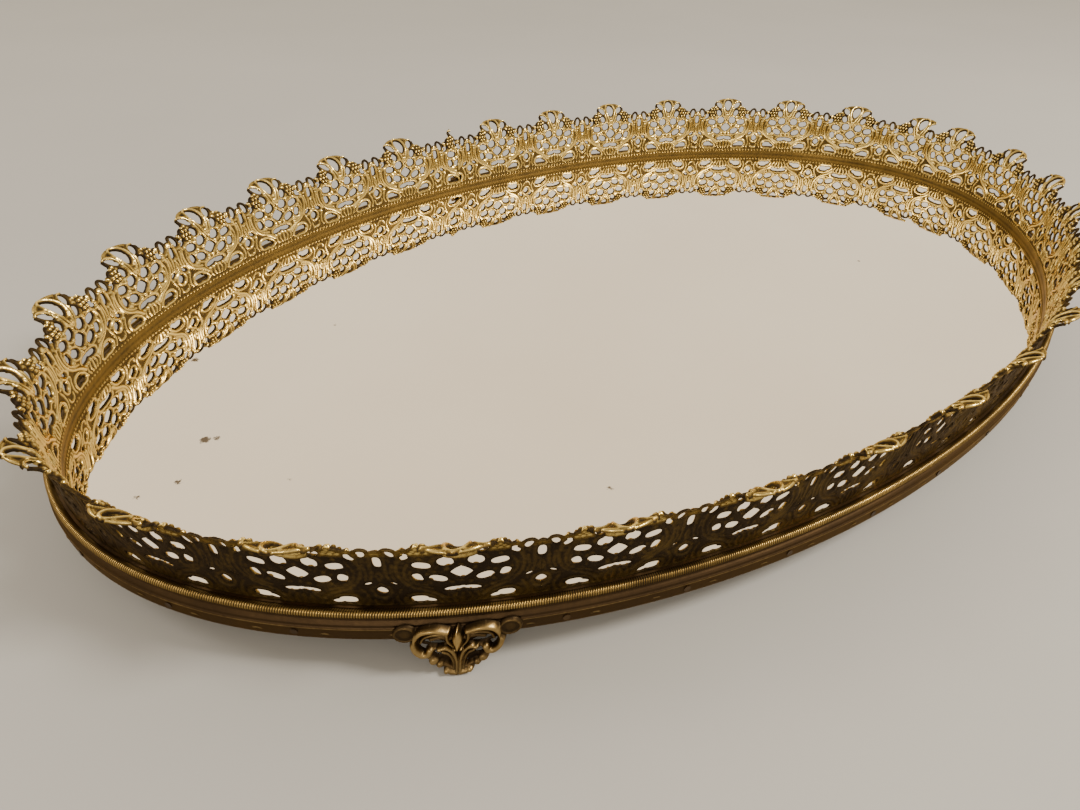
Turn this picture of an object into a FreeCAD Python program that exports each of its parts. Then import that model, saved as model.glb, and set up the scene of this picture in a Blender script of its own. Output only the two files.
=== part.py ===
"""Oval dresser vanity tray: a mirror in a low brass rim, with a pierced gallery and four cast feet.

Millimetres, +Z up. The origin is the centre of the oval, on the surface that the feet stand on.
+X runs along the oval's long axis and +Y to the back.
Every ring is an oval whose half axes are the mirror's plus one offset, so a profile is a list of
(offset, height) corners, and a place along a ring is the oval's own angle t.
"""
import FreeCAD, Part
import math
import os

Vector = FreeCAD.Vector
UP = Vector(0, 0, 1)

# The mirror plate and what lies under it
GLASS_A = 208.0                 # half length
GLASS_B = 127.0                 # half width
MIRROR_TOP = 14.6               # height of the reflecting face
GLASS_THICKNESS = 2.3
LINER_THICKNESS = 0.3
BOARD_THICKNESS = 1.6
SHELF_THICKNESS = 0.6
FELT_THICKNESS = 0.5

# Offsets of the rings from the edge of the glass
GALLERY_THICKNESS = 0.9
GALLERY_FOOT_MIDDLE = 0.55      # middle of the gallery's sheet beside the glass
GALLERY_TOP_MIDDLE = 2.7        # the same at its rim, as the sheet leans outwards
SKIRT_INNER = 1.05
SKIRT_OUTER = 1.75
SHELF_INNER = -8.0
BAND_INNER = 1.8
BAND_FACE = 3.95
BEAD_MIDDLE = 2.95
BEAD_RADIUS = 1.15

# Heights of the rings
SKIRT_TOP = 18.4
BEAD_HEIGHT = 17.5
BAND_BOTTOM = 9.9
BAND_TOP = 16.3
GALLERY_TOP = 37.6              # the rim between two crests
CREST_TOP = 41.3                # middle of the sheet at a crest's tip

# The gallery's stamped repeat
PITCH = 34.0                    # length of one repeat along the oval
STRETCHED_PITCH = 35.1          # the same where the strip is drawn round the left end
CREST_HALF_WIDTH = 7.4
CREST_ROOT = 2.0                # offset of the centre of a crest's rounded outline
CREST_THICKNESS = 0.8
CREST_CUT_BOTTOM = GALLERY_TOP - CREST_TOP / 4

# Strips: start and end of each along the oval, one crest's place, in degrees, and the pitch
STRIPS = {
    "back_left": (90.0, 180.0, 118.2, STRETCHED_PITCH),
    "front_left": (180.0, 270.0, 224.2, PITCH),
    "front_right": (270.0, 360.0, 273.8, PITCH),
    "back_right": (0.0, 90.0, 73.9, PITCH),
}
STRIP_GAP = 0.02                # degrees left between the ends of two strips

# Piercings of one repeat: distance from the crest, height above the mirror, half width, half height.
# Each one off the middle has a twin on the other side.
PIERCINGS = [
    (0.0, 15.0, 1.7, 1.6),
    (0.0, 10.4, 3.2, 1.3),
    (3.0, 18.0, 1.3, 1.4),
    (4.3, 13.1, 1.4, 1.1),
    (7.4, 17.0, 1.6, 1.0),
    (8.6, 13.0, 0.9, 1.0),
    (7.8, 6.9, 2.3, 1.1),
    (10.6, 18.6, 0.9, 0.9),
    (13.6, 12.4, 1.1, 2.2),
    (16.0, 18.6, 0.7, 1.5),
]

# Feet, rivets and pins
FOOT_ANGLES = {
    "front_left": 223.95,
    "front_right": 316.05,
    "back_left": 136.05,
    "back_right": 43.95,
}
FOOT_BACK = 4.3                 # offset of the face that lies on the band
FOOT_FRONT = 6.4
FOOT_TOP = 16.3
EAR_REACH = 11.3                # distance of each ear from the middle of the foot
EAR_HEIGHT = 13.0
EAR_RADIUS = 2.75
FOOT_COVER = 16.0               # half the stretch of band with no pins behind a foot
TOE_WIDTH = 7.0
TOE_HEIGHT = 1.4
TOE_BACK = 3.4
TOE_FRONT = 8.2
RIVET_RADIUS = 0.8
RIVET_HEAD_RADIUS = 1.6
RIVET_HEAD_THICKNESS = 0.5
RIVET_CLEARANCE = 0.05
PIN_COUNT = 36
PIN_RADIUS = 0.85
PIN_HEIGHT = 12.1
PIN_PROUD = 0.2


def point(t, offset, z):
    """Point of the oval with that offset, at angle t."""
    return Vector((GLASS_A + offset) * math.cos(t), (GLASS_B + offset) * math.sin(t), z)


def speed(t):
    """Length along the glass edge per radian."""
    return math.hypot(GLASS_A * math.sin(t), GLASS_B * math.cos(t))


def travel(t, distance):
    """Angle reached from t after that distance along the glass edge."""
    steps = 60
    for _ in range(steps):
        middle = t + distance / steps / 2 / speed(t)
        t += distance / steps / speed(middle)
    return t


def heading(t):
    """Direction of travel along the oval at t, in degrees from +X."""
    return math.degrees(math.atan2(GLASS_B * math.cos(t), -GLASS_A * math.sin(t)))


def reach(t, offset):
    """Distance square to the glass edge at t, from the edge to the oval with that offset."""
    outward = Vector(GLASS_B * math.cos(t), GLASS_A * math.sin(t), 0).normalize()
    return offset * outward.dot(Vector(math.cos(t), math.sin(t), 0))


def stand(shape, t):
    """Puts a shape at angle t on the glass edge; it is drawn x along the rim, y inwards and z up."""
    place = FreeCAD.Placement(point(t, 0, 0), FreeCAD.Rotation(UP, heading(t)))
    shape.Placement = place.multiply(shape.Placement)
    return shape


def closed_solid(faces):
    """One solid from faces that close on each other."""
    shell = Part.makeShell(faces)
    shell.sewShape()
    solid = Part.makeSolid(shell)
    if solid.Volume < 0:
        solid.reverse()
    return solid


def oval_disc(offset, bottom, thickness):
    """Flat oval plate."""
    edge = Part.Ellipse(Vector(0, 0, bottom), GLASS_A + offset, GLASS_B + offset).toShape()
    return Part.Face(Part.Wire(edge)).extrude(Vector(0, 0, thickness))


def oval_ring(profile):
    """Whole ring with that closed profile."""
    edges = [Part.Ellipse(Vector(0, 0, z), GLASS_A + o, GLASS_B + o).toShape() for o, z in profile]
    return closed_solid([Part.makeRuledSurface(edges[i - 1], edge) for i, edge in enumerate(edges)])


def oval_strip(profile, start, end):
    """Stretch of such a ring between two angles."""
    arcs = []
    for offset, z in profile:
        ellipse = Part.Ellipse(Vector(0, 0, z), GLASS_A + offset, GLASS_B + offset)
        arcs.append(Part.ArcOfEllipse(ellipse, start, end).toShape())
    faces = [Part.makeRuledSurface(arcs[i - 1], arc) for i, arc in enumerate(arcs)]
    for t in (start, end):
        corners = [point(t, offset, z) for offset, z in profile]
        faces.append(Part.Face(Part.makePolygon(corners + corners[:1])))
    return closed_solid(faces)


def sheet_profile(middle, thickness):
    """Closed profile of a sheet of even thickness whose middle line runs through those points."""
    left, right = [], []
    for i, (offset, z) in enumerate(middle):
        before, after = middle[max(i - 1, 0)], middle[min(i + 1, len(middle) - 1)]
        along = math.atan2(after[1] - before[1], after[0] - before[0])
        across = (math.sin(along) * thickness / 2, -math.cos(along) * thickness / 2)
        left.append((offset - across[0], z - across[1]))
        right.append((offset + across[0], z + across[1]))
    return left + right[::-1]


def rod(radius, x, z, outer, inner):
    """Round bar square to the rim, between two distances outside the glass edge.

    The bar is turned on its axis, so that the seam of its round face lies clear of the rings' edges.
    """
    along = Vector(0, 1, 0)
    bar = Part.makeCylinder(radius, outer - inner, Vector(x, -outer, z), along)
    bar.rotate(Vector(x, 0, z), along, 100)
    return bar


def plate(outline, outer, inner):
    """Plate with that (x, z) outline, between two distances outside the glass edge."""
    corners = [Vector(x, -outer, z) for x, z in outline]
    return Part.Face(Part.makePolygon(corners + corners[:1])).extrude(Vector(0, outer - inner, 0))


def mirror_glass():
    return oval_disc(0, MIRROR_TOP - GLASS_THICKNESS, GLASS_THICKNESS)


def glass_liner():
    return oval_disc(0, MIRROR_TOP - GLASS_THICKNESS - LINER_THICKNESS, LINER_THICKNESS)


BOARD_TOP = MIRROR_TOP - GLASS_THICKNESS - LINER_THICKNESS
BOARD_BOTTOM = BOARD_TOP - BOARD_THICKNESS


def base_board():
    return oval_disc(SKIRT_INNER - 0.05, BOARD_BOTTOM, BOARD_THICKNESS)


def base_felt():
    return oval_disc(SHELF_INNER - 0.3, BOARD_BOTTOM - FELT_THICKNESS, FELT_THICKNESS)


def rim_skirt():
    """Upright wall round the glass, with a shelf turned in under the board."""
    bottom = BOARD_BOTTOM - SHELF_THICKNESS
    return oval_ring([
        (SHELF_INNER, bottom), (SKIRT_OUTER, bottom), (SKIRT_OUTER, SKIRT_TOP),
        (SKIRT_INNER, SKIRT_TOP), (SKIRT_INNER, BOARD_BOTTOM), (SHELF_INNER, BOARD_BOTTOM),
    ])


def lower_band():
    """Rolled strip: hollow shoulder under the bead, raised line on the face, rounded lower edge."""
    return oval_ring([
        (BAND_INNER, BAND_BOTTOM), (3.2, BAND_BOTTOM), (3.8, 10.2), (BAND_FACE, 10.9), (BAND_FACE, 13.4),
        (4.15, 13.6), (4.15, 14.1), (3.8, 14.4), (3.7, 14.9), (3.1, 15.4), (2.7, BAND_TOP),
        (BAND_INNER, BAND_TOP),
    ])


def reeded_moulding():
    """Round bead in the angle between the band and the gallery."""
    sides = 16
    turns = [2 * math.pi * i / sides for i in range(sides)]
    return oval_ring([
        (BEAD_MIDDLE + BEAD_RADIUS * math.cos(a), BEAD_HEIGHT + BEAD_RADIUS * math.sin(a)) for a in turns
    ])


def crest_places(start, end, crest, pitch):
    """Angles of the middles of the repeats that reach into a strip."""
    places = []
    for direction in (-1, 1):
        t = crest if direction < 0 else travel(crest, pitch)
        while travel(start, -pitch / 2) < t < travel(end, pitch / 2):
            places.append(t)
            t = travel(t, direction * pitch)
    return sorted(places)


def gallery_strip(start, end, crest, pitch):
    """Leaning pierced wall, with a fan at each crest that curls outwards."""
    gap = math.radians(STRIP_GAP)
    start, end = start + gap / 2, end - gap / 2
    lean = [
        (GALLERY_FOOT_MIDDLE, BOARD_TOP + 0.05),
        (GALLERY_FOOT_MIDDLE, SKIRT_TOP + 0.2),
        (GALLERY_TOP_MIDDLE, GALLERY_TOP),
    ]
    curl = [(2.4, 35.2), (3.0, 38.0), (4.5, 40.0), (6.6, 41.0), (9.3, CREST_TOP)]
    wall = oval_strip([(o - GALLERY_THICKNESS / 2, z) for o, z in lean]
                      + [(o + GALLERY_THICKNESS / 2, z) for o, z in reversed(lean)], start, end)
    places = crest_places(start, end, crest, pitch)
    outlines = [
        Part.makeCylinder(CREST_HALF_WIDTH, CREST_TOP, point(t, CREST_ROOT, CREST_CUT_BOTTOM), UP)
        for t in places
    ]
    curled = oval_strip(sheet_profile(curl, CREST_THICKNESS), start, end)
    fans = curled.common(Part.makeCompound(outlines))
    holes = []
    for t in places:
        for x, height, half_width, half_height in PIERCINGS:
            z = MIRROR_TOP + height
            diamond = [(half_width, z), (0, z + half_height), (-half_width, z), (0, z - half_height)]
            for side in (-1, 1) if x else (1,):
                holes.append(stand(plate(diamond, 6, -3), travel(t, side * x)))
    return wall.fuse(fans).cut(Part.makeCompound(holes)).removeSplitter()


def back_seam_plate():
    """Small plate soldered over the outside of the joint at the middle of the back."""
    half_width, thickness = 4.0, 0.5
    middle = math.radians(90)
    lip = GALLERY_FOOT_MIDDLE + GALLERY_THICKNESS / 2 + 0.3
    profile = [(lip, 18.9), (lip + thickness, 18.9), (lip + thickness, 20.6), (lip, 20.6)]
    return oval_strip(profile, travel(middle, -half_width), travel(middle, half_width))


def rivet_angles(t):
    """Angles of the two ears of the foot at angle t."""
    return [travel(t, side * EAR_REACH) for side in (-1, 1)]


def foot(t):
    """Pierced scroll foot: ears on the band, two horns, a stem with lower scrolls and a flat toe."""
    outer, inner = FOOT_FRONT + 2, FOOT_BACK - 2
    leaf = [(0, FOOT_TOP), (-2.6, 13.4), (-2.0, 11.6), (2.0, 11.6), (2.6, 13.4)]
    stem_bottom = TOE_HEIGHT / 2
    stem = [(-1.7, stem_bottom), (1.7, stem_bottom), (1.3, 6.0), (2.0, 12.0), (-2.0, 12.0), (-1.3, 6.0)]
    sheet = stand(plate(leaf, outer, inner), t).fuse(stand(plate(stem, outer, inner), t))
    openings = []
    for side in (-1, 1):
        yoke = [(0, 13.0), (5.0, 13.6), (9.6, 14.2), (9.6, 12.4), (5.0, 11.6), (0, 11.0)]
        yoke = [(side * x, z) for x, z in yoke]
        bracket = [(side * 1.0, 2.0), (side * 4.2, 3.4), (side * 4.2, 6.4), (side * 1.0, 8.2)]
        for outline in (yoke, bracket):
            sheet = sheet.fuse(stand(plate(outline, outer, inner), t))
        for x, z, radius, hole in ((5.7, 9.2, 4.1, 1.9), (4.2, 4.9, 2.5, 0.9)):
            sheet = sheet.fuse(stand(rod(radius, side * x, z, outer, inner), t))
            openings.append(stand(rod(hole, side * x, z, outer, inner), t))
        ear = rod(EAR_RADIUS, 0, EAR_HEIGHT, outer, inner)
        sheet = sheet.fuse(stand(ear, travel(t, side * EAR_REACH)))
    for place in rivet_angles(t):
        openings.append(stand(rod(RIVET_RADIUS + RIVET_CLEARANCE, 0, EAR_HEIGHT, outer, inner), place))
    layer = [
        (FOOT_BACK, stem_bottom),
        (FOOT_FRONT, stem_bottom),
        (FOOT_FRONT, FOOT_TOP),
        (FOOT_BACK, FOOT_TOP),
    ]
    curved = oval_strip(layer, travel(t, -20), travel(t, 20))
    body = sheet.common(curved).cut(Part.makeCompound(openings))
    toe_corner = Vector(-TOE_WIDTH / 2, -TOE_FRONT, 0)
    toe = Part.makeBox(TOE_WIDTH, TOE_FRONT - TOE_BACK, TOE_HEIGHT, toe_corner)
    upright = [edge for edge in toe.Edges if abs(edge.tangentAt(edge.FirstParameter).z) > 0.9]
    return body.fuse(stand(toe.makeFillet(1.2, upright), t)).removeSplitter()


def foot_rivets(t):
    """Two round-headed rivets through the ears, the band and the rim."""
    rivets = []
    for place in rivet_angles(t):
        ear_face = reach(place, FOOT_FRONT) + 0.01
        shank = rod(RIVET_RADIUS, 0, EAR_HEIGHT, ear_face + 0.1, reach(place, SKIRT_INNER) + 0.02)
        head = rod(RIVET_HEAD_RADIUS, 0, EAR_HEIGHT, ear_face + RIVET_HEAD_THICKNESS, ear_face)
        rivets.append(stand(shank.fuse(head), place))
    return Part.makeCompound(rivets)


def pin_places():
    """Angles of the pins, evenly spaced along the band from the middle of the front."""
    total = sum(speed(math.radians(i)) * math.radians(1) for i in range(360))
    return [travel(math.radians(270), total * (i + 0.5) / PIN_COUNT) for i in range(PIN_COUNT)]


def pin_is_free(t):
    """True where no ear or foot covers the band."""
    turns = [(t - math.radians(angle)) / (2 * math.pi) for angle in FOOT_ANGLES.values()]
    nearest = min(abs(turn - round(turn)) for turn in turns) * 2 * math.pi
    return nearest * speed(t) > FOOT_COVER


def band_pins():
    """Small pins through the band into the rim."""
    pins = []
    for t in filter(pin_is_free, pin_places()):
        outer = reach(t, BAND_FACE) + PIN_PROUD
        pins.append(stand(rod(PIN_RADIUS, 0, PIN_HEIGHT, outer, reach(t, SKIRT_OUTER) + 0.02), t))
    return Part.makeCompound(pins)


def fastener_holes():
    """Clearance for every rivet and pin where it passes the band and the rim."""
    bars = []
    for angle in FOOT_ANGLES.values():
        for place in rivet_angles(math.radians(angle)):
            bars.append(stand(rod(RIVET_RADIUS + RIVET_CLEARANCE, 0, EAR_HEIGHT, 8, 0.5), place))
    pins = []
    for t in filter(pin_is_free, pin_places()):
        pins.append(stand(rod(PIN_RADIUS + RIVET_CLEARANCE, 0, PIN_HEIGHT, 8, reach(t, SKIRT_OUTER)), t))
    return Part.makeCompound(bars), Part.makeCompound(bars + pins)


def all_parts():
    rim_holes, band_holes = fastener_holes()
    parts = {
        "mirror_glass": mirror_glass(),
        "glass_liner": glass_liner(),
        "base_board": base_board(),
        "base_felt": base_felt(),
        "rim_skirt": rim_skirt().cut(rim_holes),
        "lower_band": lower_band().cut(band_holes),
        "reeded_moulding": reeded_moulding(),
        "back_seam_plate": back_seam_plate(),
        "band_pins": band_pins(),
    }
    for name, (start, end, crest, pitch) in STRIPS.items():
        angles = [math.radians(value) for value in (start, end, crest)]
        parts["gallery_strip_" + name] = gallery_strip(*angles, pitch)
    for name, angle in FOOT_ANGLES.items():
        parts["foot_" + name] = foot(math.radians(angle))
        parts["foot_rivets_" + name] = foot_rivets(math.radians(angle))
    return parts


os.makedirs("parts", exist_ok=True)
for node, shape in all_parts().items():
    print(node, "solids", len(shape.Solids), "valid", shape.isValid(), "volume", round(shape.Volume, 1))
    shape.exportStep(f"parts/{node}.step")
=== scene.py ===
"""Visual model of an oval vanity tray: a mirror in a brass rim with a pierced, stamped gallery.

Every ring of the tray is the mirror's oval plus one offset, so a place on the tray is given by the
distance along the edge of the glass, the offset from that edge and the height.
Lengths inside the pattern and profile functions are in millimetres; meshes are made in metres.
"""
import math

import bpy
import numpy as np
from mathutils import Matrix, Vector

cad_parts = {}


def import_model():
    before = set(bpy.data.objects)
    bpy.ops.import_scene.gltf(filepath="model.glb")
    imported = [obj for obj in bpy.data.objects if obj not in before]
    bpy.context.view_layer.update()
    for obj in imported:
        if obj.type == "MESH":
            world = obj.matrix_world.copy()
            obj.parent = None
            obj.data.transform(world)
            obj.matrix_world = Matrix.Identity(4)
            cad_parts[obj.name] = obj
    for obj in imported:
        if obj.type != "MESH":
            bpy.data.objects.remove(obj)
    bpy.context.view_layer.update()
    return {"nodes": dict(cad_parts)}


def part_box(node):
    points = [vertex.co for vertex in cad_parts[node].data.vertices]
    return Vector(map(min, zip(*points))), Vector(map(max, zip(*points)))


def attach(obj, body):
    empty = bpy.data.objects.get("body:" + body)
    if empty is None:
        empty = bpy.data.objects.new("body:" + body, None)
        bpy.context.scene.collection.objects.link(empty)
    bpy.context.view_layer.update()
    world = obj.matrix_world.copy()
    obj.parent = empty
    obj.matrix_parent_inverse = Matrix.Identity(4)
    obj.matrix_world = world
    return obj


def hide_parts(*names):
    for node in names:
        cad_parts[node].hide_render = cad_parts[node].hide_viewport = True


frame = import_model()

MM = 0.001
TURN = 2 * math.pi

# The edge of the glass, which every ring follows
GLASS_LOW, GLASS_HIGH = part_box("mirror_glass")
GLASS_A = (GLASS_HIGH.x - GLASS_LOW.x) / 2 / MM
GLASS_B = (GLASS_HIGH.y - GLASS_LOW.y) / 2 / MM
MIRROR_TOP = GLASS_HIGH.z / MM

# The gallery's stamped repeat and the four strips it comes in: start, end and one crest's place
# along the oval, in degrees, and the length of a repeat
PITCH = 34.0
STRETCHED_PITCH = 35.1
STRIPS = {
    "gallery_strip_back_left": (90.0, 180.0, 118.2, STRETCHED_PITCH),
    "gallery_strip_front_left": (180.0, 270.0, 224.2, PITCH),
    "gallery_strip_front_right": (270.0, 360.0, 273.8, PITCH),
    "gallery_strip_back_right": (0.0, 90.0, 73.9, PITCH),
}
FOOT_ANGLES = {
    "foot_front_left": 223.95,
    "foot_front_right": 316.05,
    "foot_back_left": 136.05,
    "foot_back_right": 43.95,
}
EAR_REACH = 11.3
EAR_HEIGHT = 13.0
EAR_RADIUS = 2.75


# ---------------------------------------------------------------- the oval

ANGLES = np.linspace(-TURN, 2 * TURN, 21601)
STEPS = np.hypot(np.diff(GLASS_A * np.cos(ANGLES)), np.diff(GLASS_B * np.sin(ANGLES)))
LENGTHS = np.concatenate([[0.0], np.cumsum(STEPS)])
LENGTHS -= np.interp(0.0, ANGLES, LENGTHS)
PERIMETER = float(np.interp(TURN, ANGLES, LENGTHS))


def length_at(degrees):
    """Distance along the glass edge, anticlockwise from the right end."""
    return float(np.interp(math.radians(degrees), ANGLES, LENGTHS))


def on_oval(along, offset, height):
    """Points in metres from distances along the edge, offsets and heights."""
    angle = np.interp(along, LENGTHS, ANGLES)
    x = (GLASS_A + offset) * np.cos(angle)
    y = (GLASS_B + offset) * np.sin(angle)
    return np.stack(np.broadcast_arrays(x, y, height), axis=-1) * MM


# ---------------------------------------------------------------- shapes in the flat

def dome(distance, radius):
    """Height of a half-round ridge or bead, from 0 at its edge to 1 on its middle."""
    return np.sqrt(np.clip(1 - (distance / radius) ** 2, 0, 1))


def blob(x, y, middle_x, middle_y, half_x, half_y, turn=0.0, power=2.0):
    """Distance outside a rounded shape, negative inside: an oval at power 2, a diamond near 1."""
    c, s = math.cos(math.radians(turn)), math.sin(math.radians(turn))
    p = np.abs((x - middle_x) * c + (y - middle_y) * s) / half_x
    q = np.abs((y - middle_y) * c - (x - middle_x) * s) / half_y
    size = np.maximum((p**power + q**power) ** (1 / power), 1e-3)
    slope = np.hypot(p ** (power - 1) / half_x, q ** (power - 1) / half_y) * size ** (1 - power)
    return (size - 1) / np.maximum(slope, 1e-6)


def smooth_line(points, steps=12):
    """Points of a smooth curve through the given ones."""
    p = np.array(points, float)
    p = np.vstack([2 * p[0] - p[1], p, 2 * p[-1] - p[-2]])
    t = np.linspace(0, 1, steps, endpoint=False)[:, None]
    spans = []
    for a, b, c, d in zip(p[:-3], p[1:-2], p[2:-1], p[3:]):
        bend = 2 * a - 5 * b + 4 * c - d
        twist = 3 * b - a - 3 * c + d
        spans.append(0.5 * (2 * b + (c - a) * t + bend * t**2 + twist * t**3))
    return np.vstack([*spans, p[-2:-1]])


def line_distance(x, y, points):
    """Distance to a smooth curve, and how far along it the nearest point is, from 0 to 1."""
    line = smooth_line(points)
    best = np.full(x.shape, 1e9)
    share = np.zeros(x.shape)
    for i, (a, b) in enumerate(zip(line[:-1], line[1:])):
        step = b - a
        t = np.clip(((x - a[0]) * step[0] + (y - a[1]) * step[1]) / (step @ step), 0, 1)
        distance = np.hypot(x - a[0] - t * step[0], y - a[1] - t * step[1])
        nearer = distance < best
        best = np.where(nearer, distance, best)
        share = np.where(nearer, (i + t) / (len(line) - 1), share)
    return best, share


def ribs(x, y, strokes):
    """Height of half-round ribs, each given as (points, half width at the start, at the end, height)."""
    height = np.zeros(x.shape)
    for points, start, end, tall in strokes:
        distance, share = line_distance(x, y, points)
        height = np.maximum(height, tall * dome(distance, start + (end - start) * share))
    return height


# ---------------------------------------------------------------- meshes

def make_piece(name, points, faces, wear_and_light, material, node):
    """One piece from points in metres and quads, with its wear and painted light: 0 deep patina and painted
    shade, 1 rubbed bright and painted highlights.
    """
    used = np.unique(faces)
    renumber = np.zeros(len(points), np.int64)
    renumber[used] = np.arange(len(used))
    mesh = bpy.data.meshes.new(name)
    mesh.vertices.add(len(used))
    mesh.vertices.foreach_set("co", points[used].astype(np.float32).ravel())
    mesh.loops.add(faces.size)
    mesh.loops.foreach_set("vertex_index", renumber[faces].astype(np.int32).ravel())
    mesh.polygons.add(len(faces))
    mesh.polygons.foreach_set("loop_start", np.arange(0, faces.size, 4, dtype=np.int32))
    mesh.polygons.foreach_set("use_smooth", np.ones(len(faces), bool))
    mesh.update(calc_edges=True)
    # the level per point holds wear together with painted highlights and shade
    attribute = mesh.attributes.new("wear_and_light", "FLOAT", "POINT")
    attribute.data.foreach_set("value", wear_and_light[used].astype(np.float32))
    mesh.materials.append(material)
    piece = bpy.data.objects.new(name, mesh)
    bpy.context.scene.collection.objects.link(piece)
    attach(piece, "root")
    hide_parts(node)


def grid_faces(keep, across):
    """Quads of the kept cells of a grid of points that is `across` points wide."""
    row, column = np.nonzero(keep)
    first = row * across + column
    return np.stack([first, first + across, first + across + 1, first + 1], axis=1)


def sheet_faces(keep, across, count):
    """Closed skin of a sheet: its front, its back, which is `count` points on, and its cut edges."""
    front = grid_faces(keep, across)
    back = front[:, ::-1] + count
    start = front.ravel()
    end = np.roll(front, -1, axis=1).ravel()
    open_edge = ~np.isin(start * count + end, end * count + start)
    a, b = start[open_edge], end[open_edge]
    return np.vstack([front, back, np.stack([b, a, a + count, b + count], axis=1)])


def ring_faces(around, across):
    """Quads of a closed tube: `around` points along the oval, `across` round the profile."""
    i, j = np.meshgrid(np.arange(around), np.arange(across), indexing="ij")
    i_next, j_next = (i + 1) % around, (j + 1) % across
    corners = [i * across + j, i_next * across + j, i_next * across + j_next, i * across + j_next]
    return np.stack([c.ravel() for c in corners], axis=1)


def snapped(x, y, inside, wrap=False):
    """Grid points next to the metal moved onto its edge, and the cells that then hold metal."""
    probe, rounds, longest, gentlest = 0.02, 4, 0.15, 0.1
    solid = inside(x, y) > 0
    padded = np.pad(solid, 1, mode="wrap" if wrap else "constant")
    if wrap:
        padded[0], padded[-1] = False, False
    near = np.zeros_like(solid)
    for i in range(3):
        for j in range(3):
            near |= padded[i:i + solid.shape[0], j:j + solid.shape[1]]
    loose = near & ~solid
    px, py = x[loose], y[loose]
    for _ in range(rounds):
        value = inside(px, py)
        gx = (inside(px + probe, py) - inside(px - probe, py)) / (2 * probe)
        gy = (inside(px, py + probe) - inside(px, py - probe)) / (2 * probe)
        pull = np.clip(-value, -longest, longest) / np.maximum(gx**2 + gy**2, gentlest)
        px, py = px + pull * gx, py + pull * gy
    x, y = x.copy(), y.copy()
    x[loose], y[loose] = px, py
    keep = solid[:-1, :-1] | solid[1:, :-1] | solid[:-1, 1:] | solid[1:, 1:]
    return x, y, keep


# ---------------------------------------------------------------- the gallery's pattern
# One repeat, drawn for the right half: distance from the crest, height on the sheet above the mirror.
# A piercing or lobe is (x, y, half width, half height, turn, power).

LATTICE = [
    (0.0, 14.4, 2.45, 2.15, 0, 1.3),
    (3.2, 18.15, 1.75, 1.6, -10, 2.3),
    (4.95, 12.5, 2.0, 1.25, 22, 2.4),
    (8.15, 17.2, 1.95, 1.25, 12, 2.6),
    (9.25, 13.2, 1.1, 1.5, -18, 2.8),
    (2.0, 8.6, 2.05, 0.85, -8, 2.2),
    (0.0, 9.0, 0.9, 0.65, 0, 2.0),
    (9.4, 5.5, 2.0, 1.25, 0, 2.6),
    (7.3, 5.0, 1.6, 0.8, 18, 2.0),
    (11.5, 19.9, 1.15, 0.62, -35, 2.0),
    (17.0, 18.8, 0.95, 1.85, 0, 2.6),
    (17.0, 8.9, 1.3, 1.45, 0, 1.5),
    (14.3, 11.3, 1.05, 0.45, 32, 2.0),
    (4.7, 21.9, 1.1, 1.55, -26, 2.2),
]
LOOPS = [
    (0.0, 26.5, 1.85, 3.35, 0, 1.6),
    (4.8, 26.2, 1.1, 2.1, -38, 1.8),
    (14.2, 21.9, 0.9, 1.75, -14, 2.0),
]
LOBES = [
    (0.0, 25.7, 6.7, 5.0, 0, 2.3),
    (0.0, 26.9, 2.9, 4.15, 0, 2.4),
    (4.3, 25.5, 2.6, 3.75, -38, 2.3),
    (0.0, 22.5, 7.6, 3.1, 0, 3.0),
    (8.4, 22.3, 2.35, 2.7, 0, 2.0),
    (7.0, 24.9, 0.95, 0.95, 0, 2.0),
    (11.2, 22.4, 0.95, 1.1, 0, 2.0),
    (14.2, 21.9, 1.95, 2.8, -14, 2.0),
    (17.0, 21.3, 1.5, 1.7, 0, 2.0),
]
SCOOP = (0.0, 23.4, 4.4, 3.6, 0, 2.2)         # smooth hollow behind each fan
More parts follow.
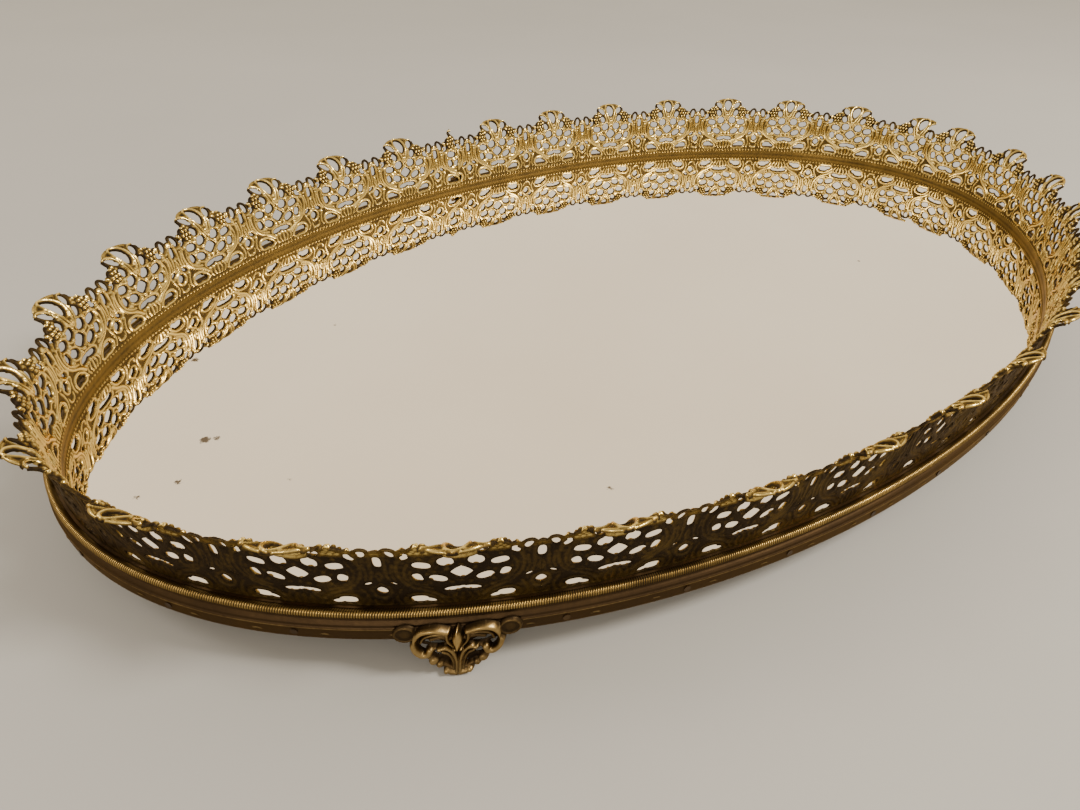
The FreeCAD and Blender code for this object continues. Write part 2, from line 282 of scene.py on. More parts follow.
SCROLLS = [
    ([(11.2, 21.6), (13.2, 17.6), (12.9, 13.5), (10.6, 10.3), (6.6, 8.2), (4.4, 6.4)], 0.45, 0.7, 0.46),
    ([(10.9, 18.2), (11.8, 15.5), (11.2, 12.4), (9.2, 10.5), (6.4, 9.5)], 0.4, 0.5, 0.4),
    ([(10.6, 15.6), (10.75, 13.2), (9.6, 11.2), (7.4, 10.7)], 0.35, 0.45, 0.36),
    ([(4.6, 4.4), (6.2, 6.5), (8.4, 7.6), (11.0, 7.5), (12.3, 6.1), (11.7, 4.4)], 0.45, 0.65, 0.46),
    ([(14.0, 17.9), (14.4, 15.0), (13.9, 12.6)], 0.5, 0.4, 0.42),
    ([(12.7, 20.6), (13.1, 18.8)], 0.4, 0.4, 0.36),
    ([(15.7, 21.2), (15.5, 18.4), (15.5, 15.2), (15.0, 12.6)], 0.5, 0.45, 0.44),
    ([(17.0, 15.6), (16.5, 14.2), (17.0, 12.6)], 0.5, 0.5, 0.4),
    ([(17.0, 11.2), (15.3, 10.2), (15.0, 8.7), (15.7, 7.2), (17.0, 6.6)], 0.5, 0.5, 0.42),
    ([(12.9, 9.4), (13.7, 7.8), (14.0, 5.8), (13.3, 4.2)], 0.5, 0.45, 0.4),
    ([(17.0, 3.9), (15.6, 4.4), (15.2, 5.8)], 0.5, 0.4, 0.4),
    ([(0.0, 4.0), (0.0, 7.2)], 0.55, 0.4, 0.42),
    ([(1.2, 3.9), (1.9, 5.6), (1.4, 7.1)], 0.45, 0.4, 0.38),
    ([(2.7, 3.9), (3.6, 5.2), (3.2, 6.9)], 0.45, 0.4, 0.38),
    ([(10.9, 21.0), (11.8, 22.9)], 0.4, 0.5, 0.4),
    ([(0.0, 30.5), (1.5, 29.7), (2.3, 28.0), (2.5, 26.2), (2.1, 24.2), (1.3, 21.8), (0.2, 19.3)],
     0.42, 0.45, 0.44),
    ([(6.5, 28.2), (5.1, 28.1), (3.8, 26.9), (3.3, 25.0), (2.9, 22.8), (2.0, 20.5), (0.9, 18.8)],
     0.4, 0.4, 0.42),
    ([(1.4, 30.7), (3.4, 30.0), (5.2, 29.1)], 0.35, 0.35, 0.36),
    ([(3.3, 20.1), (5.2, 19.9), (6.2, 18.9)], 0.4, 0.35, 0.36),
]
KNOTS = [
    (0.0, 17.2), (0.0, 11.5), (2.9, 15.9), (5.7, 15.2), (7.1, 14.5), (5.6, 18.9), (2.0, 11.2), (6.8, 11.3),
    (0.0, 20.7), (7.0, 24.9), (17.0, 21.4), (17.0, 11.4),
]
FLOWER = (8.4, 22.2)            # middle of a berry cluster, and half its width and height
FLOWER_HALF = (2.4, 2.7)
SEED_PITCH = (1.46, 1.27)       # spacing of its seeds in a row and between rows
SEEDED = (2.1, 2.8)             # half width and height of the oval that they fill
BORDER_BEADS = 20               # small beads along the border in one repeat
RIM = 20.7                      # height of the edge between the crests
BORDER = 2.5                    # height of the row of beads along the plain border
FOOT_MIDDLE = 0.55              # offset of the sheet's middle where it passes the mirror


def crest_distance(x):
    """Distance along the gallery from the nearest crest."""
    return np.abs((x + PITCH / 2) % PITCH - PITCH / 2)


def gallery_metal(x, y):
    """Distance inside the metal of the flat gallery, negative in a piercing or above its edge."""
    x = crest_distance(x)
    inside = RIM - y
    for lobe in LOBES:
        inside = np.maximum(inside, -blob(x, y, *lobe))
    for piercing in LATTICE + LOOPS:
        inside = np.minimum(inside, blob(x, y, *piercing))
    return inside


def gallery_relief(x, y):
    """Height of the inner face over the middle of the sheet, and of what is raised on it."""
    inside = gallery_metal(x, y)
    x = crest_distance(x)
    rounded = np.sqrt(1 - (1 - np.clip(inside / 0.9, 0, 1)) ** 2)
    raised = ribs(x, y, SCROLLS)
    for knot in KNOTS:
        raised = np.maximum(raised, 0.45 * dome(np.hypot(x - knot[0], y - knot[1]), 0.66))
    for row in range(-2, 3):
        for i in range(-2, 3):
            seed_x = (i + 0.5 * (row % 2)) * SEED_PITCH[0]
            seed_y = row * SEED_PITCH[1]
            if (seed_x / SEEDED[0]) ** 2 + (seed_y / SEEDED[1]) ** 2 < 1:
                distance = np.hypot(x - FLOWER[0] - seed_x, y - FLOWER[1] - seed_y)
                raised = np.maximum(raised, 0.75 * dome(distance, 0.62))
    bead_pitch = PITCH / BORDER_BEADS
    bead = (x + bead_pitch / 2) % bead_pitch - bead_pitch / 2
    raised = np.maximum(raised, 0.32 * dome(np.hypot(bead, y - BORDER), 0.58))
    groove = np.zeros(x.shape)
    for loop in LOOPS:
        groove = np.maximum(groove, np.exp(-((blob(x, y, *loop) - 0.72) / 0.2) ** 2))
    plain = raised < 0.1
    return 0.08 + 0.5 * rounded, raised - 0.36 * groove * plain


def gallery_profile(y):
    """Offset, height and slope of the sheet's middle at a height measured along the sheet."""
    fine = np.linspace(-3, 34, 1481)
    bends = [4.0, 4.5, 20.0, 31.0]
    slopes = [90, 83.5, 83.5, 8]
    slope = np.interp(fine, bends, np.radians(slopes))
    step = fine[1] - fine[0]
    offset = np.cumsum(np.cos(slope)) * step
    height = np.cumsum(np.sin(slope)) * step
    offset += FOOT_MIDDLE - np.interp(0, fine, offset)
    height += MIRROR_TOP - np.interp(0, fine, height)
    return np.interp(y, fine, offset), np.interp(y, fine, height), np.interp(y, fine, slope)


def gallery_repeat():
    """Grid of one repeat: places, cells, heights of both faces and their wear with painted highlights and
    shade.
    """
    columns = 128
    rows = np.concatenate([np.linspace(-2.4, 1.8, 6), np.arange(2.1, 31.5, 0.27)])
    x, y = np.meshgrid(np.linspace(-PITCH / 2, PITCH / 2, columns + 1), rows)
    x, y, keep = snapped(x, y, gallery_metal, wrap=True)
    base, raised = gallery_relief(x, y)
    front = base + raised
    from_crest = crest_distance(x)
    to_scoop = blob(from_crest, y, *SCOOP)
    shell = np.maximum(dome(to_scoop, 0.5), 0.7 * dome(to_scoop + 1.25, 0.4))
    back = 0.05 - 0.75 * base + 0.45 * np.maximum(raised, 0) - 0.35 * shell
    back = np.minimum(back, front - 0.3)
    on_border = np.clip((BORDER - 0.4 - y) / 0.5, 0, 1)
    on_fan = np.clip((y - RIM - 1) / 2, 0, 1)
    # painted highlight and shade: each wire is bright on its crest and dark down its flanks, over its
    # rubbing
    wire = ((base - 0.08) / 0.5) ** 5
    to_flower = blob(from_crest, y, *FLOWER, *FLOWER_HALF)
    # painted shade: wide flat metal between the wires goes dark, deepening its patina
    ground = np.clip((gallery_metal(x, y) - 0.75) / 0.6, 0, 1) * (1 - 0.2 * on_fan)
    in_flower = np.clip(-to_flower / 0.5, 0, 1)
    # painted shade in the gaps between the seeds of the berry clusters
    ground = np.maximum(ground, 1.6 * in_flower)
    # raised scrolls, knots and seeds rubbed bright, with painted highlights on their tops
    polish_and_highlight = 2.1 * raised * (1 - in_flower) + 1.9 * np.maximum(raised, 0) ** 2 * in_flower
    front_wear_and_light = 0.02 + 1.0 * wire - 0.85 * ground - 0.3 * on_fan
    front_wear_and_light = np.clip(np.maximum(front_wear_and_light, polish_and_highlight) + 1.3 * np.minimum(raised, 0), 0, 1)
    # painted shadow: the plain border darkens down to the glass, where the sheet meets the mirror
    front_wear_and_light = front_wear_and_light * (1 - on_border) + 0.34 * np.clip((y + 0.3) / 0.8, 0, 1) * on_border
    # painted highlights: the rolled top edge and the hollow behind each fan brighten, most on its lips
    in_scoop = np.clip(0.4 - to_scoop, 0, 1) * (0.62 + 0.38 * shell)
    rolled = np.maximum(0.55 * np.clip((y - RIM + 0.2) / 1.2, 0, 1) * (0.5 + 0.6 * wire), in_scoop)
    back_wear_and_light = 0.22 * np.clip(raised, 0, 1) + 0.12 * np.clip((6.5 - y) / 3, 0, 1) + 0.8 * rolled
    return columns, x, y, keep, front, back, front_wear_and_light, back_wear_and_light


def gallery_piece(name, node, start, end, crest, pitch, repeat, material):
    """Stretch of the gallery between two distances along the glass edge."""
    columns, x, y, keep, front, back, front_wear_and_light, back_wear_and_light = repeat
    first = math.floor(((start - crest) / pitch + 0.5) * columns)
    last = math.ceil(((end - crest) / pitch + 0.5) * columns)
    place = np.arange(first, last + 1)
    column, unit = place % columns, place // columns
    along = crest + (x[:, column] / PITCH + unit) * pitch
    along = np.clip(along, start, end)
    offset, height, slope = gallery_profile(y[:, column])
    points = []
    for lift in (front[:, column], back[:, column]):
        points.append(on_oval(along, offset - np.sin(slope) * lift, height + np.cos(slope) * lift))
    cells = keep[:, place[:-1] % columns]
    across = len(place)
    faces = sheet_faces(cells, across, along.size)
    wear_and_light = np.concatenate([front_wear_and_light[:, column].ravel(), back_wear_and_light[:, column].ravel()])
    stacked = np.concatenate([p.reshape(-1, 3) for p in points])
    make_piece(name, stacked, faces, wear_and_light, material, node)


def gallery(material):
    """The four strips, each in two pieces that meet half way between two crests."""
    repeat = gallery_repeat()
    for node, (start, end, crest, pitch) in STRIPS.items():
        start, end, crest = (length_at(value) for value in (start, end, crest))
        halves = round(((start + end) / 2 - crest) / pitch - 0.5) + 0.5
        middle = crest + halves * pitch
        gallery_piece(node + "_first", node, start, middle, crest, pitch, repeat, material)
        gallery_piece(node + "_second", node, middle, end, crest, pitch, repeat, material)


# ---------------------------------------------------------------- bead and band

BEAD_MIDDLE = 2.8
BEAD_RADIUS = 1.05
BEAD_HEIGHT = 17.6
REEDS = 1860
BEAD_REACH = 2.0                # how far its soldered inner side is drawn out to the gallery
BAND_PROFILE = [
    (1.8, 9.9), (3.0, 9.9), (3.5, 10.0), (3.85, 10.4), (3.95, 10.9), (3.95, 13.4), (4.12, 13.6),
    (4.2, 13.85), (4.12, 14.1), (3.85, 14.35), (3.75, 14.8), (3.4, 15.2), (2.95, 15.6), (2.75, 16.25),
    (1.8, 16.3),
]
STAKES = 72
STAKE_HEIGHT = 10.9             # height of the centre of each stake's crescent
RAISED_LINE = 13.85


def reeded_moulding(material):
    """Bead with fine cross ribs, its inner side drawn out to the gallery."""
    samples, across = 5, 9
    around = REEDS * samples
    along = np.linspace(0, PERIMETER, around, endpoint=False)[:, None]
    turn = -np.linspace(0, TURN, across, endpoint=False)[None, :]
    reed = 0.5 + 0.5 * np.cos(TURN * np.arange(around) / samples)[:, None]
    radius = BEAD_RADIUS * (0.9 + 0.1 * reed) + 0 * turn
    reach = np.where(np.cos(turn) < -0.7, BEAD_REACH, 1.0)
    outwards = BEAD_MIDDLE + reach * radius * np.cos(turn)
    points = on_oval(along, outwards, BEAD_HEIGHT + radius * np.sin(turn))
    patchy = 0.8 + 0.2 * np.sin(along * 0.043) * np.sin(along * 0.0171 + 2)
    # painted light and shade: the upper outer side of the bead is lighter, the lower inner side darker
    painted_top_light = 0.35 + 0.65 * np.clip(np.cos(turn - math.radians(40)), 0, 1)
    wear_and_light = patchy * (0.1 + 0.75 * reed) * painted_top_light
    make_piece("reeded_bead", points.reshape(-1, 3), ring_faces(around, across), wear_and_light.ravel(), material,
               "reeded_moulding")


def lower_band(material):
    """Rolled band with a fine raised line, a slight wave and a row of small crescent stakes."""
    spacing = 0.28
    corners = np.array(BAND_PROFILE)
    corners = np.vstack([corners, corners[:1]])
    run = np.concatenate([[0], np.cumsum(np.hypot(*np.diff(corners, axis=0).T))])
    fine = np.unique(np.concatenate([run, np.arange(0, run[-1], spacing)]))[:-1]
    outer = np.interp(fine, run, corners[:, 0])
    height = np.interp(fine, run, corners[:, 1])
    around = 1960
    along = np.linspace(0, PERIMETER, around, endpoint=False)[:, None]
    stake_pitch = PERIMETER / STAKES
    from_stake = (along % stake_pitch) - stake_pitch / 2
    arc = np.hypot(from_stake, height - STAKE_HEIGHT)
    upper = np.clip((height - 11.6) / 0.4, 0, 1) * (outer > 3.5)
    dent = 0.24 * dome(arc - 1.2, 0.24) * upper - 0.25 * dome(arc - 0.8, 0.35) * upper
    wave = 0.05 * np.sin(along * 0.061) * np.sin(along * 0.017 + 1) * (outer > 2.5)
    line = np.clip(1 - np.abs(height - RAISED_LINE) / 0.3, 0, 1) * (outer > 3.5)
    edge = np.clip(1 - np.abs(height - 10.2) / 0.4, 0, 1) * (outer > 3.0)
    # painted highlights along the raised line and on the raised arcs of the crescent stakes; brighter also
    # along the lower edge
    wear_and_light = 0.28 + 0.32 * line + 0.25 * edge + 2.2 * np.maximum(dent, 0) + 0 * along
    points = on_oval(along, outer + dent + wave, height + 0 * along)
    faces = ring_faces(around, len(fine))[:, ::-1]
    make_piece("lower_band_rolled", points.reshape(-1, 3), faces, wear_and_light.ravel(), material,
               "lower_band")


# ---------------------------------------------------------------- feet
# Drawn for the right half: distance from the foot's middle, height above the table.

FOOT_BACK = 4.3
FOOT_STROKES = [
    ([(2.1, 14.0), (5.0, 14.8), (7.8, 14.1), (9.4, 11.4), (9.2, 8.5), (7.9, 6.7), (6.5, 6.8), (6.0, 8.0)],
     0.8, 1.05, 1.7),
    ([(2.6, 12.9), (5.0, 13.2), (7.1, 12.4), (7.9, 10.8)], 0.45, 0.4, 1.15),
    ([(1.6, 11.4), (3.6, 11.9), (5.8, 11.4)], 0.65, 0.5, 0.9),
    ([(0.35, 1.4), (0.5, 4.6), (1.2, 7.2), (2.5, 8.6), (4.0, 8.5)], 0.5, 0.8, 1.5),
    ([(1.1, 1.8), (1.35, 4.4), (2.1, 6.3), (3.4, 7.1)], 0.45, 0.5, 1.15),
    ([(3.8, 8.4), (5.0, 8.3), (6.0, 8.0)], 0.6, 0.6, 0.9),
    ([(6.6, 6.6), (6.4, 5.6), (5.6, 4.6)], 0.6, 0.9, 1.1),
    ([(4.3, 3.0), (2.8, 2.5), (1.6, 1.9)], 0.7, 0.6, 0.9),
    ([(0.4, 0.95), (1.6, 1.1), (2.5, 1.4)], 0.85, 0.7, 1.35),
    ([(2.3, 13.2), (2.1, 11.0), (1.0, 9.1)], 0.6, 0.4, 1.35),
    ([(9.0, 13.0), (10.4, 13.0)], 0.8, 0.8, 0.5),
]
FOOT_LEAVES = [
    (0.0, 11.7, 1.3, 3.7, 0, 1.45, 2.1),
    (5.4, 4.2, 1.3, 1.2, 0, 2.0, 1.5),
    (4.1, 2.9, 1.05, 0.95, 0, 2.0, 1.25),
    (3.9, 8.5, 0.85, 0.8, 0, 2.0, 1.6),
    (0.62, 8.1, 0.42, 0.42, 0, 2.0, 1.6),
    (2.55, 1.45, 0.9, 0.85, 0, 2.0, 1.55),
]
FOOT_BODY = [
    (0.0, 11.4, 2.3, 2.9, 0, 2.4),
    (0.0, 5.5, 1.5, 5.0, 0, 3.0),
    (0.0, 1.15, 2.5, 1.3, 0, 2.2),
    (4.6, 11.2, 4.2, 2.6, 0, 2.4),
    (3.4, 5.6, 2.7, 2.9, 10, 2.4),
]
FOOT_HOLES = [
    (5.2, 9.9, 2.1, 0.6, 12, 2.2),
    (4.25, 6.1, 1.1, 0.8, 20, 2.2),
]
EAR = (EAR_REACH, EAR_HEIGHT, EAR_RADIUS, EAR_RADIUS, 0, 2.0)


def foot_metal(x, y):
    """Distance inside the foot seen from the front, negative in its openings."""
    x = np.abs(x)
    inside = -blob(x, y, *EAR)
    for shape in FOOT_BODY + [leaf[:6] for leaf in FOOT_LEAVES]:
        inside = np.maximum(inside, -blob(x, y, *shape))
    for points, start, end, _ in FOOT_STROKES:
        distance, share = line_distance(x, y, points)
        inside = np.maximum(inside, start + (end - start) * share - distance)
    for hole in FOOT_HOLES:
        inside = np.minimum(inside, blob(x, y, *hole))
    return np.minimum(inside, y - 0.02)


def foot_relief(x, y):
    """Thickness of the foot over its flat back, and of what is raised on it."""
    inside = foot_metal(x, y)
    x = np.abs(x)
    rounded = np.sqrt(1 - (1 - np.clip(inside / 0.5, 0, 1)) ** 2)
    raised = ribs(x, y, FOOT_STROKES)
    for leaf in FOOT_LEAVES:
        share = np.clip(-blob(x, y, *leaf[:6]) / (0.8 * leaf[2]), 0, 1)
        raised = np.maximum(raised, leaf[6] * np.sqrt(1 - (1 - share) ** 2))
    spine = 0.25 * dome(x, 0.22) * (np.abs(y - 11.6) < 3.2)
    from_ear = np.hypot(x - EAR_REACH, y - EAR_HEIGHT)
    on_ear = (from_ear < EAR_RADIUS) & (x > 9.3)
    raised = np.where(on_ear, 0.3 * dome(from_ear - 2.2, 0.26), raised + spine)
    base = np.where(on_ear, 0.6, 0.35)
    return (base + raised) * rounded, np.where(on_ear, 2.8 * raised + 0.15, raised)


def foot(name, angle, material):
    """Cast foot on the band, curved as the band is and flared to its toe."""
    step = 0.15
    x, y = np.meshgrid(np.arange(-14.4, 14.41, step), np.arange(-0.15, 16.51, step))
    x, y, keep = snapped(x, y, foot_metal)
    y = np.maximum(y, 0.0)
    thick, raised = foot_relief(x, y)
    flare = 1.5 * np.clip(1 - y / 4.5, 0, 1) ** 2
    front_offset = FOOT_BACK + flare + np.maximum(thick, 0.05)
    hollow = 0.35 * np.clip(thick - 0.5, 0, 1)
    back_offset = FOOT_BACK + flare + hollow - 0.5 * np.clip(1 - y / 3.0, 0, 1)
    along = length_at(angle) + x
    front = on_oval(along, front_offset, y)
    back = on_oval(along, back_offset, y)
    faces = sheet_faces(keep, x.shape[1], x.size)[:, ::-1]
    wear_and_light = np.concatenate([np.clip(0.04 + 0.42 * raised, 0, 0.9).ravel(), np.full(x.size, 0.1)])
    points = np.concatenate([front.reshape(-1, 3), back.reshape(-1, 3)])
    make_piece(name + "_cast", points, faces, wear_and_light, material, name)


def rivets(name, angle, material):
    """Two low rivet heads, almost flush with the ears of a foot."""
    around, rings = 32, 7
    turn = np.linspace(0, TURN, around, endpoint=False)[:, None]
    radius = np.concatenate([[0.35, 0.9, 0.85], 1.25 * np.sin(np.linspace(math.pi / 2, 0.06, rings))])
    lift = np.concatenate([[-1.0, -0.9, 0.5], 0.55 + 0.12 * np.cos(np.linspace(math.pi / 2, 0.06, rings))])
    points, faces, wear_and_light = [], [], []
    for side in (-1, 1):
        along = length_at(angle) + side * EAR_REACH + radius * np.cos(turn)
        points.append(on_oval(along, FOOT_BACK + lift, EAR_HEIGHT + radius * np.sin(turn)).reshape(-1, 3))
        i, j = np.meshgrid(np.arange(around), np.arange(len(radius) - 1), indexing="ij")
        corners = [i * len(radius) + j, (i + 1) % around * len(radius) + j]
        quads = np.stack([corners[0], corners[1], corners[1] + 1, corners[0] + 1], -1).reshape(-1, 4)
        faces.append(quads + len(points[0]) * (len(points) - 1))
        wear_and_light.append(np.tile(np.linspace(0.1, 0.3, len(radius)), around))
    make_piece(name + "_heads", np.vstack(points), np.vstack(faces), np.concatenate(wear_and_light), material, name)


# ---------------------------------------------------------------- materials

def node_tree(name):
    material = bpy.data.materials.new(name)
    material.use_nodes = True
    tree = material.node_tree
    shader = tree.nodes["Principled BSDF"]
    where = tree.nodes.new("ShaderNodeTexCoord").outputs["Object"]
    return material, tree, shader, where


def noise(tree, where, scale, detail=4.0, roughness=0.55):
    node = tree.nodes.new("ShaderNodeTexNoise")
    node.inputs["Scale"].default_value = scale
    node.inputs["Detail"].default_value = detail
    node.inputs["Roughness"].default_value = roughness
    tree.links.new(where, node.inputs["Vector"])
    return node.outputs["Fac"]


def ramp(tree, value, stops):
    """Colour ramp; each stop is (position, (r, g, b))."""
    node = tree.nodes.new("ShaderNodeValToRGB")
    while len(node.color_ramp.elements) < len(stops):
        node.color_ramp.elements.new(0.5)
    for element, (position, colour) in zip(node.color_ramp.elements, stops):
        element.position = position
        element.color = (*colour, 1)
    tree.links.new(value, node.inputs["Fac"])
    return node.outputs["Color"]


def grey(value):
    return (value, value, value)


def maths(tree, operation, a, b):
    node = tree.nodes.new("ShaderNodeMath")
    node.operation = operation
    for socket, value in zip(node.inputs, (a, b)):
        if isinstance(value, (int, float)):
            socket.default_value = value
        else:
            tree.links.new(value, socket)
    return node.outputs[0]


def bump(tree, shader, height, strength, distance):
    node = tree.nodes.new("ShaderNodeBump")
    node.inputs["Strength"].default_value = strength
    node.inputs["Distance"].default_value = distance
    tree.links.new(height, node.inputs["Height"])
    tree.links.new(node.outputs["Normal"], shader.inputs["Normal"])


def aged_brass(name, dark, middle, bright, smooth, rough):
    """Brass whose mesh says where it is rubbed bright and where highlights and shade are painted, broken up
    by blotches and fine pitting.
    """
    material, tree, shader, where = node_tree(name)
    wear_and_light_node = tree.nodes.new("ShaderNodeAttribute")
    wear_and_light_node.attribute_name = "wear_and_light"
    blotch = maths(tree, "MULTIPLY_ADD", noise(tree, where, 90.0), 0.4)
    blotch.node.inputs[2].default_value = -0.2
    fine = maths(tree, "MULTIPLY_ADD", noise(tree, where, 900.0, 2.0), 0.24)
    fine.node.inputs[2].default_value = -0.12
    # level: wear with painted highlights and shade from the mesh, plus blotches and pitting
    level = maths(tree, "ADD", wear_and_light_node.outputs["Fac"], maths(tree, "ADD", blotch, fine))
    rubbed_and_lit = tuple(0.42 * m + 0.58 * b for m, b in zip(middle, bright))
    colour = ramp(tree, level, [(0.0, dark), (0.4, middle), (0.75, rubbed_and_lit), (1.0, bright)])
    tree.links.new(colour, shader.inputs["Base Color"])
    tree.links.new(ramp(tree, level, [(0.1, grey(rough)), (0.8, grey(smooth))]), shader.inputs["Roughness"])
    tree.links.new(ramp(tree, level, [(0.0, grey(0.7)), (0.35, grey(1.0))]), shader.inputs["Metallic"])
    shader.inputs["Specular Tint"].default_value = (1.0, 0.78, 0.55, 1)
    shader.inputs["Specular IOR Level"].default_value = 0.35
    bump(tree, shader, noise(tree, where, 1500.0, 3.0), 0.12, 0.0002)
    return material


def plain_brass(name, dark, bright):
    """The same brass for pieces whose mesh carries no wear and no painted light."""
    material, tree, shader, where = node_tree(name)
    level = noise(tree, where, 160.0, 6.0, 0.6)
    tree.links.new(ramp(tree, level, [(0.3, dark), (0.75, bright)]), shader.inputs["Base Color"])
    tree.links.new(ramp(tree, level, [(0.3, grey(0.55)), (0.75, grey(0.32))]), shader.inputs["Roughness"])
    shader.inputs["Metallic"].default_value = 0.95
    bump(tree, shader, noise(tree, where, 1500.0, 3.0), 0.15, 0.0002)
    return material


SPECKS = [                      # place on the mirror and radius
    (-171.9, 6.3, 1.5), (-169.0, 5.0, 0.9), (-184.0, -7.0, 0.9), (-194.2, -6.4, 0.7), (-159.0, 49.4, 1.2),
    (-95.4, -79.4, 0.7), (-112.3, 42.6, 0.5), (-160.6, -24.2, 0.4), (88.0, -41.0, 0.6), (31.0, 72.0, 0.5),
]


def silvered_glass():
    """Mirror with small dark ragged specks where the silvering has gone."""
    material, tree, shader, where = node_tree("silvered_glass")
    shader.inputs["Metallic"].default_value = 1.0
    ragged = maths(tree, "MULTIPLY_ADD", noise(tree, where, 1300.0, 6.0, 0.7), 0.004)
    ragged.node.inputs[2].default_value = -0.0021
    gone = None
    for x, y, radius in SPECKS:
        gap = tree.nodes.new("ShaderNodeVectorMath")
        gap.operation = "DISTANCE"
        gap.inputs[1].default_value = (x * MM, y * MM, MIRROR_TOP * MM)
        tree.links.new(where, gap.inputs[0])
        edge = maths(tree, "SUBTRACT", radius * MM, maths(tree, "ADD", gap.outputs["Value"], ragged))
        speck = maths(tree, "MULTIPLY", edge, 1800.0)
        speck.node.use_clamp = True
        gone = maths(tree, "MAXIMUM", gone, speck) if gone else speck
    # painted reflection: the silvering is tinted warm, as if reflecting a warm room; the tint varies slowly
    # across the glass
    tones = [(0.3, (0.88, 0.82, 0.72)), (0.7, (0.94, 0.885, 0.79))]
    painted_warm_reflection = ramp(tree, noise(tree, where, 9.0, 5.0), tones)
    mix = tree.nodes.new("ShaderNodeMix")
    mix.data_type = "RGBA"
    mix.inputs["B"].default_value = (0.16, 0.125, 0.09, 1)
    tree.links.new(gone, mix.inputs["Factor"])
    tree.links.new(painted_warm_reflection, mix.inputs["A"])
    tree.links.new(mix.outputs["Result"], shader.inputs["Base Color"])
    tree.links.new(ramp(tree, gone, [(0.0, grey(0.015)), (1.0, grey(0.4))]), shader.inputs["Roughness"])
    return material


def fibrous(name, dark, light, scale):
    """Card, board or felt: matt, with fibres from stretched noise."""
    material, tree, shader, where = node_tree(name)
    fibres = maths(tree, "MULTIPLY", noise(tree, where, scale * 9), 0.4)
    level = maths(tree, "ADD", noise(tree, where, scale, 8.0, 0.7), fibres)
    tree.links.new(ramp(tree, level, [(0.45, dark), (0.9, light)]), shader.inputs["Base Color"])
    shader.inputs["Roughness"].default_value = 0.9
    bump(tree, shader, level, 0.5, 0.0003)
    return material


def cover(node, material):
    """Gives a CAD node that keeps its shape its own material."""
    mesh = frame["nodes"][node].data
    mesh.materials.clear()
    mesh.materials.append(material)


# ---------------------------------------------------------------- floor, light and camera

def floor():
    """Pale round studio floor."""
    size, around, rings = 4.0, 48, 6
    turn = np.linspace(0, TURN, around, endpoint=False)
    radii = size * np.linspace(0.02, 1, rings)
    flat = [np.outer(radii, np.cos(turn)), np.outer(radii, np.sin(turn)), np.zeros((rings, around))]
    points = np.stack(flat, -1)
    mesh = bpy.data.meshes.new("floor")
    index = np.arange(rings * around).reshape(rings, around)
    beside = np.roll(index, -1, axis=1)
    quads = np.stack([index[:-1], index[1:], beside[1:], beside[:-1]], -1).reshape(-1, 4)
    faces = [index[0].tolist(), *quads.tolist()]
    mesh.from_pydata(points.reshape(-1, 3).tolist(), [], faces)
    material, tree, shader, where = node_tree("pale_floor")
    tones = [(0.3, (0.37, 0.368, 0.365)), (0.7, (0.40, 0.398, 0.395))]
    tree.links.new(ramp(tree, noise(tree, where, 3.0), tones), shader.inputs["Base Color"])
    shader.inputs["Roughness"].default_value = 0.65
    mesh.materials.append(material)
    plane = bpy.data.objects.new("floor", mesh)
    bpy.context.scene.collection.objects.link(plane)


def soft_light(name, place, target, size, power, colour):
    """Round area light aimed at a target; places and size in metres, power in watts."""
    lamp = bpy.data.lights.new(name, "AREA")
    lamp.shape = "DISK"
    lamp.size = size
    lamp.energy = power
    lamp.color = colour
    lit = bpy.data.objects.new(name, lamp)
    lit.location = place
    aim = Vector(target) - Vector(place)
    lit.rotation_mode = "QUATERNION"
    lit.rotation_quaternion = aim.to_track_quat("-Z", "Y")
    bpy.context.scene.collection.objects.link(lit)


def world():
    """Warm studio light, darker at the horizon and overhead than between them."""
    sky = bpy.data.worlds.new("studio")
    sky.use_nodes = True
    tree = sky.node_tree
    shade = tree.nodes["Background"]
    where = tree.nodes.new("ShaderNodeTexCoord").outputs["Generated"]
    split = tree.nodes.new("ShaderNodeSeparateXYZ")
    tree.links.new(where, split.inputs[0])
    tones = [
        (0.0, (0.34, 0.30, 0.25)),
        (0.3, (1.0, 0.87, 0.68)),
        (0.75, (1.0, 0.85, 0.64)),
        (1.0, (0.3, 0.26, 0.21)),
    ]
    tone = ramp(tree, split.outputs["Z"], tones)
    tree.links.new(tone, shade.inputs["Color"])
    shade.inputs["Strength"].default_value = 1.3
    bpy.context.scene.world = sky


# The camera that the fit of the ovals gives: angles in degrees, target and distance in half lengths
# of the mirror, sensor and lens in millimetres
AZIMUTH, ELEVATION, ROLL = -40.87, 35.74, 1.88
TARGET = (-0.413, -0.186)
DISTANCE = 1.140
SENSOR, FOCAL_LENGTH = 36.0, 25.8


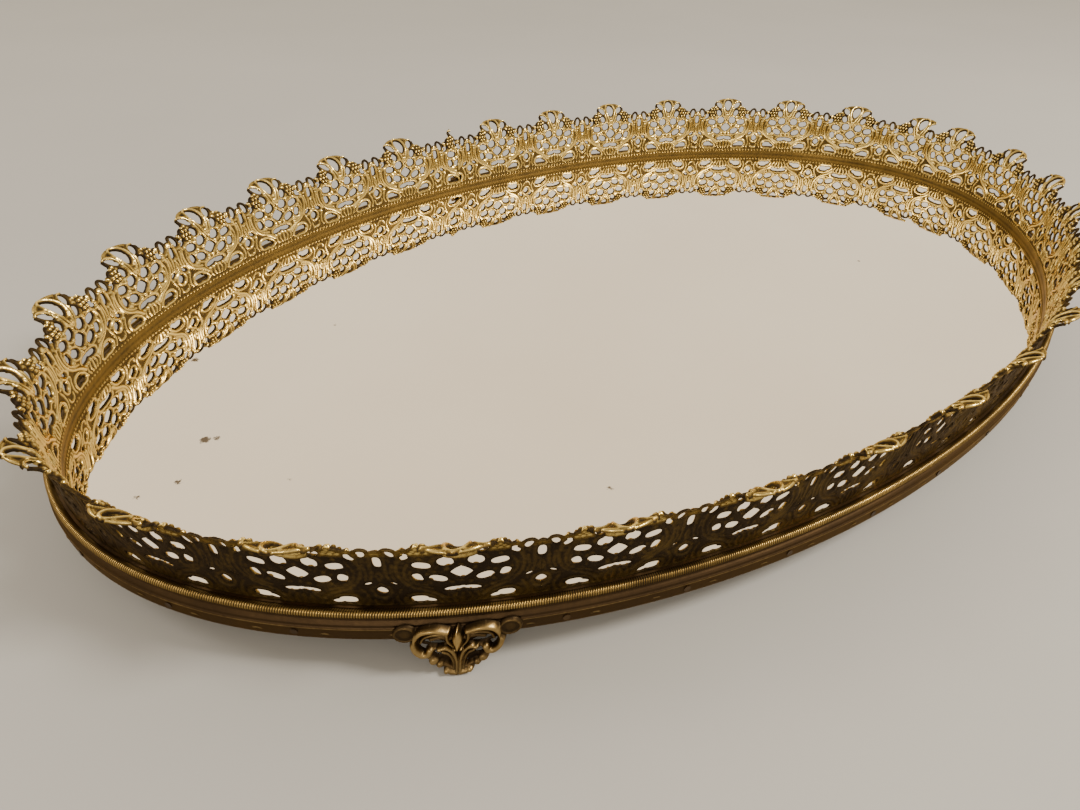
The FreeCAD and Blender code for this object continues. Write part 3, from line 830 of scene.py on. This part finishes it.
def camera():
    """Camera of a phone held over the front left of the tray, tilted a little."""
    azimuth, elevation, roll = math.radians(AZIMUTH), math.radians(ELEVATION), math.radians(ROLL)
    target = np.array([*TARGET, 0.0]) * GLASS_A * MM + np.array([0, 0, MIRROR_TOP * MM])
    distance = DISTANCE * GLASS_A * MM
    back = np.array([
        math.sin(azimuth) * math.cos(elevation),
        -math.cos(azimuth) * math.cos(elevation),
        math.sin(elevation),
    ])
    level = np.cross(-back, (0, 0, 1))
    level /= np.linalg.norm(level)
    upright = np.cross(level, -back)
    right = level * math.cos(roll) + upright * math.sin(roll)
    up = upright * math.cos(roll) - level * math.sin(roll)
    lens = bpy.data.cameras.new("view")
    lens.sensor_width = SENSOR
    lens.lens = FOCAL_LENGTH
    lens.clip_start = 0.01
    view = bpy.data.objects.new("view", lens)
    place = target + back * distance
    view.matrix_world = Matrix([
        (right[0], up[0], back[0], place[0]),
        (right[1], up[1], back[1], place[1]),
        (right[2], up[2], back[2], place[2]),
        (0, 0, 0, 1),
    ])
    bpy.context.scene.collection.objects.link(view)
    bpy.context.scene.camera = view


camera()
world()
floor()
soft_light("key", (0.55, -0.75, 1.0), (-0.05, 0, 0), 0.36, 20, (1.0, 0.92, 0.78))
soft_light("left", (-0.9, -0.75, 0.8), (0, 0, 0), 0.4, 3.5, (1.0, 0.91, 0.76))
soft_light("back", (-0.9, 0.8, 0.9), (0, 0, 0.02), 0.4, 5, (1.0, 0.90, 0.76))

BRASSES = {                     # colours of hollows with patina and painted shade, sides, and rubbed crests with painted highlights; roughness rubbed and dull
    "gallery_brass": ((0.014, 0.009, 0.005), (0.18, 0.117, 0.034), (1.0, 0.77, 0.27), 0.16, 0.55),
    "rim_brass": ((0.014, 0.008, 0.005), (0.058, 0.036, 0.018), (0.50, 0.35, 0.14), 0.3, 0.5),
    "bead_brass": ((0.012, 0.007, 0.004), (0.13, 0.084, 0.027), (0.85, 0.60, 0.22), 0.22, 0.5),
    "foot_brass": ((0.012, 0.007, 0.004), (0.080, 0.052, 0.023), (0.50, 0.35, 0.14), 0.28, 0.5),
}
brass = {name: aged_brass(name, *finish) for name, finish in BRASSES.items()}
gallery(brass["gallery_brass"])
reeded_moulding(brass["bead_brass"])
lower_band(brass["rim_brass"])
foot_brass = brass["foot_brass"]
for foot_name, foot_angle in FOOT_ANGLES.items():
    foot(foot_name, foot_angle, foot_brass)
    rivets(foot_name.replace("foot", "foot_rivets"), foot_angle, foot_brass)

dull_brass = plain_brass("dull_brass", (0.02, 0.012, 0.006), (0.12, 0.072, 0.03))
for node in ("rim_skirt", "back_seam_plate", "band_pins"):
    cover(node, dull_brass)
cover("mirror_glass", silvered_glass())
cover("glass_liner", fibrous("card", (0.20, 0.14, 0.08), (0.36, 0.27, 0.17), 120.0))
cover("base_board", fibrous("hardboard", (0.09, 0.05, 0.025), (0.19, 0.11, 0.06), 60.0))
cover("base_felt", fibrous("felt", (0.012, 0.02, 0.012), (0.035, 0.055, 0.035), 300.0))
